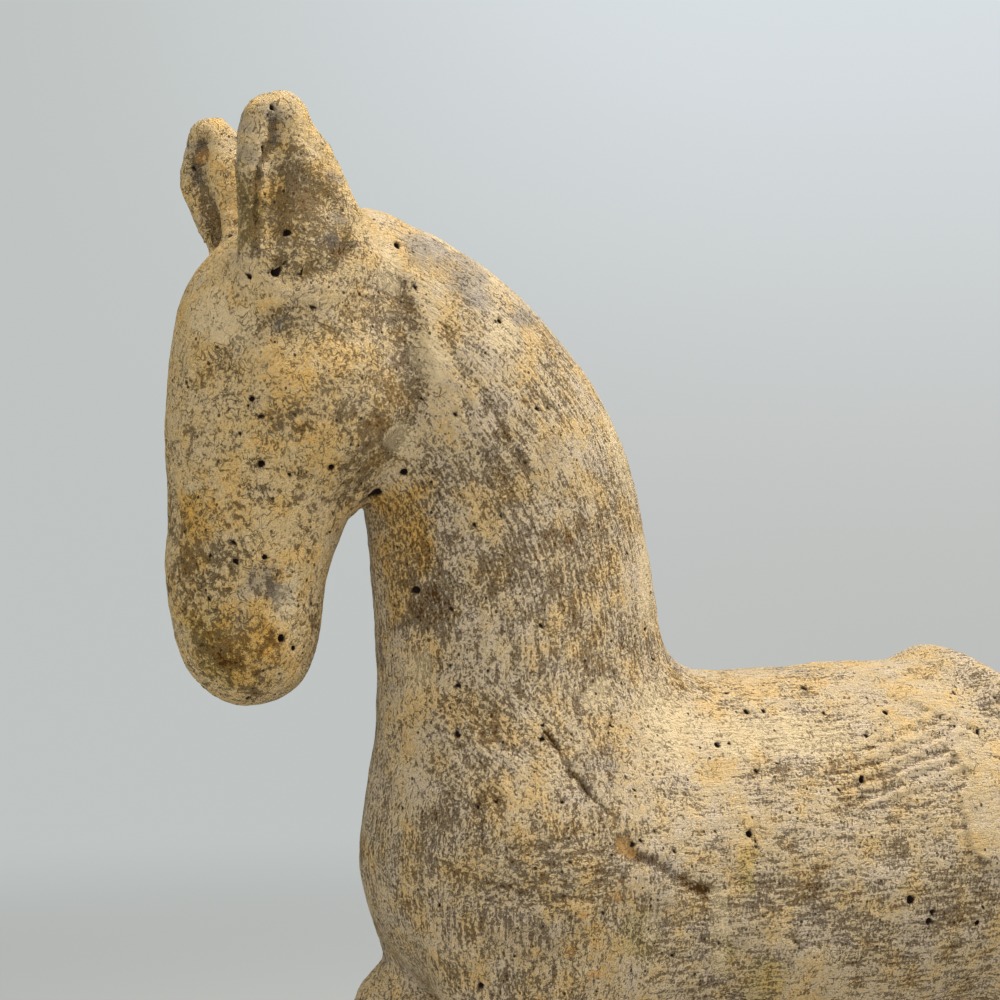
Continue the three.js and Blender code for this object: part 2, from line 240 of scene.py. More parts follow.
def draw(values, low, h):
    """One vertex in each cell that the surface crosses, one quad round each crossed edge."""
    inside = values < 0
    nx, ny, nz = values.shape
    corners = [(i, j, k) for i in (0, 1) for j in (0, 1) for k in (0, 1)]
    count = sum(inside[i:nx - 1 + i, j:ny - 1 + j, k:nz - 1 + k].astype(np.uint8)
                for i, j, k in corners)
    cells = np.argwhere((count > 0) & (count < 8))
    number = np.full(count.shape, -1, np.int64)
    number[tuple(cells.T)] = np.arange(len(cells))
    at = {c: values[tuple((cells + c).T)].astype(float) for c in corners}
    total, hits = np.zeros((len(cells), 3)), np.zeros(len(cells))
    for a in corners:
        for axis in range(3):
            if a[axis] == 0:
                b = tuple(1 if i == axis else v for i, v in enumerate(a))
                cross = (at[a] < 0) != (at[b] < 0)
                p = np.tile(np.array(a, float), (len(cells), 1))
                p[:, axis] += np.where(cross, at[a] / (at[a] - at[b] + 1e-12), 0)
                total[cross] += p[cross]
                hits[cross] += 1
    vertices = low + h * (cells + total / hits[:, None])
    quads = []
    for axis in range(3):
        one, two = (axis + 1) % 3, (axis + 2) % 3
        here, there = [slice(1, -1)] * 3, [slice(1, -1)] * 3
        here[axis], there[axis] = slice(0, -1), slice(1, None)
        first, second = inside[tuple(here)], inside[tuple(there)]
        edges = np.argwhere(first != second)
        flipped = second[tuple(edges.T)]
        base = edges + [0 if i == axis else 1 for i in range(3)]

        def cell(da, db):
            c = base.copy()
            c[:, one] -= da
            c[:, two] -= db
            return number[tuple(c.T)]

        quad = np.stack([cell(1, 1), cell(0, 1), cell(0, 0), cell(1, 0)], 1)
        quad[flipped] = quad[flipped][:, ::-1]
        quads.append(quad)
    return vertices, np.vstack(quads)


def slope_and_distance(points, e=0.3):
    corners = np.array([(1, 1, 1), (1, -1, -1), (-1, 1, -1), (-1, -1, 1)], float)
    values = [horse(points + e * c) for c in corners]
    return sum(v[:, None] * c for v, c in zip(values, corners)) / (4 * e), sum(values) / 4


def settle(points, passes=2):
    for _ in range(passes):
        slope, distance = slope_and_distance(points)
        step = np.clip(distance, -1.5, 1.5) / np.maximum((slope**2).sum(1), 0.2)
        points = points - step[:, None] * slope
    return points


# ---------------------------------------------------------------------- relief

GRADIENTS = np.random.RandomState(7).normal(size=(256, 3))
GRADIENTS /= np.linalg.norm(GRADIENTS, axis=1, keepdims=True)


def noise(points, size, seed=0, octaves=1, rough=0.5):
    """Gradient noise, about -1 to 1, with features about `size` mm wide."""
    size = np.asarray(size, float)
    total, strength, out = 0.0, 1.0, np.zeros(len(points))
    for octave in range(octaves):
        q = points / size * 2**octave + 17.3 * octave
        cell = np.floor(q).astype(np.int64)
        f = q - cell
        u = f * f * f * (f * (f * 6 - 15) + 10)
        value = np.zeros(len(points))
        for i in (0, 1):
            for j in (0, 1):
                for k in (0, 1):
                    c = cell + (i, j, k)
                    hashed = (c[:, 0] * 73856093) ^ (c[:, 1] * 19349663) ^ (c[:, 2] * 83492791)
                    g = GRADIENTS[((hashed + seed * 7919) * 2654435761 >> 13) & 255]
                    weight = (np.where(i, u[:, 0], 1 - u[:, 0]) * np.where(j, u[:, 1], 1 - u[:, 1])
                              * np.where(k, u[:, 2], 1 - u[:, 2]))
                    value += weight * (g * (f - (i, j, k))).sum(1)
        out += strength * value * 1.6
        total += strength
        strength *= rough
    return out / total


def to_path(points, path):
    """Distance in the side view to a line through (x, z) points, and the side it is on."""
    p = points[:, (0, 2)]
    best, side = np.full(len(p), 1e9), np.zeros(len(p))
    for a, b in zip(np.asarray(path[:-1], float), np.asarray(path[1:], float)):
        axis = b - a
        t = np.clip(((p - a) @ axis) / (axis @ axis), 0, 1)
        d = p - a - t[:, None] * axis
        length = np.hypot(d[:, 0], d[:, 1])
        closer = length < best
        best = np.where(closer, length, best)
        side = np.where(closer, np.sign(axis[0] * d[:, 1] - axis[1] * d[:, 0]), side)
    return best, side


def bump(distance, width):
    return np.exp(-((distance / width) ** 2))


def spot(points, x, z, width):
    return bump(np.hypot(points[:, 0] - x, points[:, 2] - z), width)


# Side-view lines, (x, z) in mm
UPPER_LID = [(-174, 347), (-172, 350), (-167.5, 355.5), (-161, 361.5), (-154, 366), (-149, 368)]
LOWER_LID = [(-162, 350), (-158.5, 351.5), (-151.5, 354.5)]
CHEEK_EDGE = [(-117, 386), (-112, 371), (-109.5, 358), (-107.5, 347), (-109.5, 335),
              (-115, 324.5), (-124, 314)]
SLIP_STEP = [(54, 247), (61, 244), (55, 236), (57, 233), (60, 228), (55, 223), (56, 213),
             (57, 206), (63, 203)]
SHOULDER_SCRATCH = [(-76.5, 246), (-73, 240), (-70.5, 234), (-66, 227.5), (-59.5, 222)]
SHORT_SCRATCH = [(-63, 248), (-61, 241), (-59.5, 233)]
SHOULDER_GROOVE = [(-55, 212), (-43, 205.5), (-31.5, 200)]
LONG_STROKES = [[(-97, 232), (-96.5, 220), (-96, 213)], [(-91.5, 230), (-91, 218), (-90.5, 211)],
                [(-104, 207), (-92, 204), (-78, 200.5), (-68, 200)]]
NECK_GROOVES = [[(-97, 351), (-85, 331), (-76, 315)], [(-103, 362), (-98, 348), (-96, 335)]]
EAR_LINE = [(-152.5, 417), (-152.5, 412), (-157.5, 402), (-158, 394), (-158, 387), (-158.5, 380)]
# Larger burnt-out pits on the near side: x, z, radius
PITS = [
    (-156, 322, 1.2), (-159, 340, 0.9), (-179, 329, 0.9), (-136, 321, 1.0), (-148, 319, 0.8),
    (-162, 295, 0.9), (-154, 296, 0.9), (-148, 273, 1.3), (-144, 270, 0.9), (-139, 403, 1.1),
    (-137, 398, 1.2), (-153, 421, 1.0), (-114, 385, 1.2), (-160, 374, 1.3), (-153, 375, 1.3),
    (-150, 386, 1.2), (-16, 215, 1.2), (-20, 240, 1.0), (24, 229, 1.1), (36, 193, 1.5),
    (43, 186, 1.2), (61, 184, 1.0), (39, 247, 0.9), (-6, 249, 0.9), (0, 249, 0.8),
    (-84, 364, 1.0), (-112, 320, 1.1), (-108, 286, 1.2),
]
THROAT_HOLE, THROAT_HOLE_SIZE = (-119.5, -9, 314.5), (4.2, 3.4, 2.4)
CLAY_HOLE = [(-57.8, 214.6, 2.6), (-55.6, 212.2, 1.8)]


def pit_list():
    """The named pits, then smaller ones strewn over the whole skin."""
    rng = np.random.RandomState(21)
    named = [(x, -1.0, z, r) for x, z, r in PITS]
    strewn = [(rng.uniform(-178, 160), rng.choice((-1.0, 1.0)), rng.uniform(140, 420),
               0.45 + 0.5 * rng.rand() ** 2) for _ in range(520)]
    return named + strewn


def pit_depth(points, normals):
    """Depth of the pits at each point, and how far down each pit it lies, 0 to 1, which the colours use
    as painted shade.
    """
    depth, pit_shade = np.zeros(len(points)), np.zeros(len(points))
    order = np.argsort(points[:, 0])
    xs = points[order, 0]
    for x, side, z, r in pit_list():
        part = order[np.searchsorted(xs, x - 2 * r):np.searchsorted(xs, x + 2 * r)]
        q = points[part]
        keep = (np.abs(q[:, 2] - z) < 2 * r) & (q[:, 1] * side > 0) & (np.abs(normals[part, 1]) > 0.35)
        part = part[keep]
        d = np.hypot(points[part, 0] - x, points[part, 2] - z) / r
        pit_shade[part] = np.maximum(pit_shade[part], 1 - smooth(0.55, 1.15, d))
        depth[part] = np.maximum(depth[part], 1.5 * r * (1 - smooth(0.3, 1.2, d)))
    return depth, pit_shade


def neck_flow(points):
    """Coordinates that run along the bent neck, so strokes can follow it."""
    dx, dz = points[:, 0] + 168, points[:, 2] - 268
    radius = np.hypot(dx, dz)
    turn = np.where(points[:, 2] > 268, np.arctan2(dz, dx) * 104, dz)
    reach = np.where(points[:, 2] > 268, radius, dx)
    return np.stack([reach, points[:, 1], turn], 1)


def slanted(points):
    """Coordinates turned in the side view, so that the third runs down and backwards."""
    c, s = math.cos(math.radians(42)), math.sin(math.radians(42))
    return np.stack([points[:, 0] * c + points[:, 2] * s, points[:, 1],
                     points[:, 2] * c - points[:, 0] * s], 1)


def regions(points):
    """How much each point belongs to head, neck, trunk and the rest."""
    closeness = {
        "head": limb(points, CHAINS["head"]),
        "neck": limb(points, CHAINS["neck"]) + 0.16 * np.maximum(0, 205 - points[:, 2]),
        "trunk": limb(points, CHAINS["trunk"]),
    }
    closeness["legs"] = np.min([limb(points, CHAINS[k]) for k in
                                ("fore_near", "fore_far", "hind_near", "hind_far", "tail")], 0)
    weights = {k: np.exp(-np.clip(v, -5, 60) / 5) for k, v in closeness.items()}
    total = sum(weights.values()) + 1e-9
    weights = {k: v / total for k, v in weights.items()}
    up = smooth(383, 392, points[:, 2]) * (points[:, 0] < -120)
    weights["ear"] = up
    weights["chest"] = smooth(-40, -62, points[:, 0]) * smooth(262, 240, points[:, 2])

    # Ways the strokes run: down, along the body, or slanting across the foot of the neck
    down = np.clip(weights["neck"] + 0.9 * weights["chest"] + 0.6 * weights["legs"], 0, 1)
    along = weights["trunk"] * (1 - weights["chest"])
    dx, dz = (points[:, 0] + 92) / 24, (points[:, 2] - 243) / 19
    slant = smooth(1.15, 0.7, np.hypot(dx, dz)) * (points[:, 1] < 0)
    dx, dz = (points[:, 0] + 82) / 26, (points[:, 2] - 207) / 12
    cross = smooth(1.15, 0.7, np.hypot(dx, dz)) * (1 - slant)
    weights["down"] = down * (1 - slant) * (1 - cross)
    weights["along"] = along + down * cross * (1 - slant)
    weights["slant"] = slant
    return weights


def relief(points, normals, where):
    """Height added along the normal, in mm, and the masks that the colours read."""
    near = smooth(-4, -14, points[:, 1])
    sides = smooth(0.25, 0.6, np.abs(normals[:, 1]))
    flow = neck_flow(points)
    lumps = 0.55 * noise(points, 26, 1) + 0.3 * noise(points, 11, 2) + 0.14 * noise(points, 5, 3)

    down_neck = 0.42 * noise(flow, (2.4, 2.4, 15), 4, 2, 0.7)
    on_trunk = 0.40 * noise(points, (13, 3.4, 2.8), 5, 2, 0.7)
    swipes = noise(slanted(points), (2.6, 9, 14), 6, 2)
    cracks = 1 - np.abs(noise(points, (5.2, 5.2, 4.2), 8, 2)) * 3.6
    worm = smooth(0.35, 1.0, cracks) * smooth(0.0, 0.35, noise(points, 15, 9) + 0.18)
    grain = noise(points, 2.4, 10, 2, 0.8)
    lower_face = smooth(352, 330, points[:, 2]) * where["head"]

    height = lumps + 0.10 * grain
    height += down_neck * where["down"] + on_trunk * where["along"] + 0.5 * swipes * where["slant"]
    height -= 0.38 * worm * (lower_face + 0.35 * where["trunk"])

    # Eyes: a slanting upper lid, a hollow under it, a faint lower lid
    lid, _ = to_path(points, UPPER_LID)
    low_lid, _ = to_path(points, LOWER_LID)
    eye = smooth(7, 13, np.abs(points[:, 1])) * where["head"]
    under, _ = to_path(points - (1.6, 0, -2.4), UPPER_LID)
    height += eye * (1.9 * bump(lid, 1.35) * smooth(-143, -156, points[:, 0]) - 1.1 * bump(under, 2.2)
                     + 1.3 * bump(low_lid, 1.5) - 1.4 * spot(points, -164, 350.5, 5)
                     - 0.8 * spot(points, -151, 360, 5))

    # Cheek: a flat disc that ends in a worn step
    edge, side = to_path(points, CHEEK_EDGE)
    raised = smooth(-1.6, 1.6, edge * side + 0.9 * noise(points, 6, 16, 2))
    disc = bump(np.maximum(edge - 2, 0), 9) * sides * smooth(305, 318, points[:, 2])
    disc *= smooth(386, 370, points[:, 2])
    height += disc * (1.5 * raised - 0.75)

    # Near ear: a narrow groove behind the rolled rim, and a hollow where it meets the head
    line, _ = to_path(points, EAR_LINE)
    ear_line = bump(line, 1.3) * near * smooth(378, 384, points[:, 2])
    height -= 1.3 * ear_line
    seam = bump(np.maximum(limb(points, EARS[1]["groove"]) + 0.4, 0), 1.1)
    height -= 0.8 * seam
    foot, _ = to_path(points, [(-152, 377), (-145, 375), (-138, 377.5), (-133, 383)])
    height -= 1.3 * bump(foot, 3.2) * near

    # Near flank: swiped ridges, a broken edge in the slip, scratches
    band = bump(np.abs(points[:, 2] - 232 - 0.28 * (points[:, 0] - 35)), 11) * smooth(8, 26, points[:, 0])
    band *= smooth(66, 52, points[:, 0]) * near
    height += 0.75 * band * np.sin((points[:, 2] - 0.28 * points[:, 0]) * 1.5
                                   + 1.2 * noise(points, 14, 12))
    step, step_side = to_path(points, SLIP_STEP)
    plate = smooth(-0.7, 0.7, step * step_side) * bump(np.maximum(step - 3, 0), 10) * near * sides
    height += 1.1 * plate
    worn = 0.75 + 0.6 * noise(points, 4, 18)
    score = bump(step, 0.8) * near * sides * 0.6
    for path, depth, width in ((SHOULDER_SCRATCH, 1.0, 0.8), (SHORT_SCRATCH, 0.6, 0.7),
                               (SHOULDER_GROOVE, 1.4, 1.8), (NECK_GROOVES[0], 0.6, 1.2),
                               (NECK_GROOVES[1], 0.6, 1.3), (LONG_STROKES[0], 0.6, 0.8),
                               (LONG_STROKES[1], 0.5, 0.8), (LONG_STROKES[2], 0.5, 0.8)):
        away, _ = to_path(points + 0.5 * noise(points, 5, 19)[:, None], path)
        cut = worn * bump(away, width) * near * sides
        height -= depth * cut
        score = np.maximum(score, depth * cut)

    # Holes
    depth, pit_shade = pit_depth(points, normals)
    hole = np.max([spot(points, *one) for one in CLAY_HOLE], 0) * near * sides
    height -= 0.9 * hole
    throat = np.sqrt((((points - THROAT_HOLE) / THROAT_HOLE_SIZE) ** 2).sum(1))
    throat = 1 - smooth(0.7, 1.15, throat)
    height -= 2.0 * throat
    height -= depth

    on_slab = smooth(13.8, 12.0, points[:, 2])
    quiet = 0.6 * noise(points, (22, 22, 60), 14, 2)
    height = height * (1 - on_slab) + on_slab * np.where(points[:, 2] < 0.5, 0, quiet - 0.4)
    # line marks the ear grooves, the slip step's edge and the scratches; the colours darken it as painted
    # shade
    return height, {"pit_shade": np.maximum(pit_shade, throat), "worm": worm * lower_face, "hole": hole,
                    "line": np.max([ear_line, seam, score], 0)}


def build_horse():
    values, low, h = sample(GRID_STEP, COARSE_STEP, *GRID_BOX)
    points, quads = draw(values, low, h)
    points = settle(points)

    mesh = bpy.data.meshes.new("horse_skin")
    mesh.from_pydata(points.tolist(), [], quads.tolist())
    bm = bmesh.new()
    bm.from_mesh(mesh)

    def refine(wanted):
        faces = [f for f in bm.faces if wanted(f.calc_center_median())]
        edges = list({e for f in faces for e in f.edges})
        bmesh.ops.subdivide_edges(bm, edges=edges, cuts=1, use_grid_fill=True)

    def in_view(c):
        if c.x < -30 and c.z > 176:
            return c.y < 6 or (c.z > 384 and c.x < -120)
        return c.y < -12 and c.z > 178 and c.x < 84

    refine(in_view)
    spots = [(x, z, 1.5 * r + 0.6) for x, z, r in PITS if r > 0.85]
    lines = [SLIP_STEP, SHOULDER_SCRATCH]

    def near_feature(c):
        if c.y > -8 or c.z < 176:
            return False
        if any((c.x - x) ** 2 + (c.z - z) ** 2 < r * r for x, z, r in spots):
            return True
        if (c - Vector(THROAT_HOLE)).length < 6:
            return True
        p = np.array([[c.x, c.y, c.z]])
        return c.x > -84 and c.z < 252 and any(to_path(p, line)[0][0] < 1.6 for line in lines)

    refine(near_feature)
    bmesh.ops.triangulate(bm, faces=[f for f in bm.faces if len(f.verts) > 4])
    bm.to_mesh(mesh)
    bm.free()

    points = np.empty(len(mesh.vertices) * 3)
    mesh.vertices.foreach_get("co", points)
    points = settle(points.reshape(-1, 3), 1)
    slope, _ = slope_and_distance(points, 0.5)
    normals = slope / (np.linalg.norm(slope, axis=1, keepdims=True) + 1e-9)
    where = regions(points)
    height, masks = relief(points, normals, where)
    shown = points + height[:, None] * normals
    shown[:, 2] = np.maximum(shown[:, 2], 0)
    return mesh, points, shown, normals, where, height, masks


mesh, place, shown, normals, where, height, masks = build_horse()

# The shape's own box goes onto the CAD box, so both share one frame
own_low, own_high = place.min(0), place.max(0)
scale = (cad_high.z - cad_low.z) / (own_high[2] - own_low[2])
shift = np.array([(cad_low.x + cad_high.x) / 2 / scale - (own_low[0] + own_high[0]) / 2,
                  (cad_low.y + cad_high.y) / 2 / scale, cad_low.z / scale - own_low[2]])
mesh.vertices.foreach_set("co", ((shown + shift) * scale).astype(np.float32).ravel())
mesh.update()


def to_frame(x, y, z):
    return Vector([(v + s) * scale for v, s in zip((x, y, z), shift)])


def store(name, values):
    kind = "FLOAT" if values.ndim == 1 else "FLOAT_VECTOR"
    layer = mesh.attributes.new(name, kind, "POINT")
    layer.data.foreach_set("value" if kind == "FLOAT" else "vector", values.astype(np.float32).ravel())


wander = np.stack([noise(place, 9, 31, 3, 0.6), noise(place, 9, 32, 3, 0.6)], 1)


def patch(x, z, width, near=True, tall=1.0):
    """A soft patch in the side view with a wandering edge, mostly a stain, in a few places painted light
    or shade; the shader breaks it up further.
    """
    dx = (place[:, 0] - x) / width + 0.9 * wander[:, 0]
    dz = (place[:, 2] - z) / (width * tall) + 0.9 * wander[:, 1]
    side = smooth(-2, -10, place[:, 1]) if near else 1.0
    return (1 - smooth(0.3, 1.4, np.hypot(dx, dz))) * side


# Painted shade and highlight from the relief: hollows darker, raised parts paler, less so on the head
painted_relief_shading = np.clip(-height / 1.2, -1, 1) * (1 - 0.4 * np.clip(where["head"], 0, 1))
blue = np.max([
    patch(-153, 419, 5), patch(-152, 413, 3), patch(-135, 403.5, 4), patch(-134, 391, 3),
    patch(-137, 385, 3), patch(-104, 383, 10), patch(-92, 376, 10), patch(-76, 365, 6),
    patch(-155, 290, 9, True, 0.8), patch(-149, 286, 6), patch(-151, 361, 3),
    patch(-162, 417, 5, False), patch(-161, 408, 4, False), patch(-70, 325, 8) * 0.6,
    patch(-50, 203, 12) * 0.6, patch(-86, 186, 14, True, 0.7) * 0.6, patch(-62, 240, 12) * 0.6,
    patch(-18, 186, 10) * 0.5], 0)
ochre = np.max([
    patch(-112, 311, 7), patch(-111, 300, 9, True, 1.5), patch(-113, 286, 6, True, 2.0),
    patch(-158, 271, 12), patch(-172, 305, 6, True, 2.4), patch(-153, 396, 6, True, 1.6) * 0.6,
    patch(-143, 405, 6) * 0.5, patch(-66, 178, 8) * 0.6, patch(-70, 190, 7) * 0.6,
    patch(-150, 338, 16) * 0.5, patch(-107, 265, 4, True, 2.0), patch(-85, 186, 34) * 0.45], 0)
# Pale slip patches; the two long flat ones at the top of the near flank, about z 240, are painted light,
# a pale band where the top light falls
pale = np.max([
    patch(-107, 264, 3.5, True, 2.2), patch(-68, 179, 3.5, True, 0.5), patch(-49.5, 191, 3, True, 2),
    patch(-27, 180, 3.5, True, 1.6), patch(-26, 193, 4, True, 2.5), patch(-84, 362, 6, True, 1.4),
    patch(-8, 243, 26, True, 0.25), patch(12, 240, 16, True, 0.3), patch(-58, 257, 6),
    patch(-35, 247, 13), patch(-95, 389, 6, False), patch(-80, 380, 8, False),
    patch(-118, 378, 5, True, 1.8), patch(-107, 352, 6, True, 1.6), patch(-165, 362, 9),
    patch(-147, 284, 4, True, 2.4), patch(-42, 330, 8, True, 2.5), patch(-34, 290, 6, True, 3),
    patch(-114, 330, 6), patch(-62, 255, 4)], 0)
olive = np.max([
    patch(-17, 206, 4, True, 2.2), patch(-25, 181, 5, True, 1.5), patch(-10, 172, 9),
    patch(-171, 276, 8, True, 1.2), patch(-166, 264, 8), patch(-52, 188, 8, True, 1.4),
    patch(-159, 392, 4, True, 2.5)], 0)
# Darker patches. The one on the near side of the seat ridge is painted shade that tones down the top
# light there, and the line mask is painted shade along the ear grooves, the slip step and the scratches.
dark_and_shade = np.max([
    patch(-105, 281, 6, True, 2.0), patch(-78, 290, 22, True, 1.6) * 0.35,
    patch(-137, 350, 17) * 0.35, patch(-125, 335, 12) * 0.35,
    patch(-147, 394, 18, True, 1.1) * 1.0, patch(72, 254, 13) * 0.5, patch(-168, 268, 8) * 0.6,
    patch(2, 232, 12, True, 0.35) * 0.7, masks["line"]], 0)
orange = np.maximum(masks["hole"], 0.9 * np.max([
    patch(-60, 200, 1.8), patch(-70.5, 195.6, 1.7), patch(-73, 185, 1.8),
    patch(-66, 178, 2.4, True, 0.5), patch(-159.5, 414, 2.8, False) * (place[:, 1] > 0)], 0))

store("place", place)
store("neck_flow", neck_flow(place))
store("slanted", slanted(place))
for name, values in (
        ("w_down", where["down"]), ("w_along", where["along"]), ("w_slant", where["slant"]),
        # The relief shading stored here is painted shade and painted highlight
        ("w_head", np.clip(where["head"] + where["ear"], 0, 1)), ("painted_relief_shading", painted_relief_shading),
        # The pit depth stored here is painted shade in the holes
        ("pit_shade", masks["pit_shade"]), ("worm", masks["worm"]), ("blue", blue), ("ochre", ochre),
        # The dark patches carry painted shade, and two of the pale ones painted light
        ("pale", pale), ("olive", olive), ("dark_and_shade", dark_and_shade), ("orange", orange),
        # up makes faces that point upwards paler: painted top light
        ("up", smooth(-0.2, 0.9, normals[:, 2]))):
    store(name, np.asarray(values, float))

for polygon in mesh.polygons:
    polygon.use_smooth = True
body = bpy.data.objects.new("horse_skin", mesh)
bpy.context.scene.collection.objects.link(body)

# --------------------------------------------------------------------- material


class Nodes:
    """Short ways to add shader nodes and link them."""

    def __init__(self, material):
        self.tree = material.node_tree
        self.tree.nodes.clear()

    def add(self, kind, **settings):
        node = self.tree.nodes.new(kind)
        for key, value in settings.items():
            setattr(node, key, value)
        return node

    def feed(self, socket, value):
        if isinstance(value, bpy.types.NodeSocket):
            self.tree.links.new(value, socket)
        else:
            socket.default_value = value

    def attribute(self, name, vector=False):
        node = self.add("ShaderNodeAttribute", attribute_name=name)
        return node.outputs["Vector" if vector else "Fac"]

    def math(self, operation, a, b=0.0, clamp=False):
        node = self.add("ShaderNodeMath", operation=operation, use_clamp=clamp)
        self.feed(node.inputs[0], a)
        self.feed(node.inputs[1], b)
        return node.outputs[0]

    def total(self, *terms, add=0.0):
        """Sum of value * factor over the terms, plus a constant."""
        out = add
        for value, factor in terms:
            node = self.add("ShaderNodeMath", operation="MULTIPLY_ADD")
            for socket, item in zip(node.inputs, (value, factor, out)):
                self.feed(socket, item)
            out = node.outputs[0]
        return out

    def scaled(self, vector, factors):
        node = self.add("ShaderNodeVectorMath", operation="MULTIPLY")
        self.feed(node.inputs[0], vector)
        node.inputs[1].default_value = factors
        return node.outputs[0]

    def noise(self, vector, factors, detail=2.0, rough=0.5, distortion=0.0):
        node = self.add("ShaderNodeTexNoise")
        self.feed(node.inputs["Vector"], self.scaled(vector, factors))
        node.inputs["Scale"].default_value = 1.0
        node.inputs["Detail"].default_value = detail
        node.inputs["Roughness"].default_value = rough
        node.inputs["Distortion"].default_value = distortion
        return node.outputs["Fac"]

    def steps(self, value, low, high):
        node = self.add("ShaderNodeMapRange", interpolation_type="SMOOTHSTEP")
        self.feed(node.inputs["Value"], value)
        node.inputs["From Min"].default_value = low
        node.inputs["From Max"].default_value = high
        return node.outputs["Result"]

    def mix(self, factor, a, b, blend_type="MIX"):
        node = self.add("ShaderNodeMix", data_type="RGBA", blend_type=blend_type)
        self.feed(node.inputs[0], factor)
        self.feed(node.inputs[6], a if isinstance(a, bpy.types.NodeSocket) else (*a, 1))
        self.feed(node.inputs[7], b if isinstance(b, bpy.types.NodeSocket) else (*b, 1))
        return node.outputs[2]

    def ramp(self, value, stops):
        node = self.add("ShaderNodeValToRGB")
        self.feed(node.inputs[0], value)
        elements = node.color_ramp.elements
        for place, colour in stops[2:]:
            elements.new(place)
        for element, (place, colour) in zip(elements, stops):
            element.position = place
            element.color = (*colour, 1)
        return node.outputs[0]


# How much slip is left on average, and how far each noise sways it
SLIP_LEFT = 0.65
BY_STROKE, BY_SPECK, BY_MIDDLE, BY_CLOUD = 2.1, 2.6, 0.9, 0.8


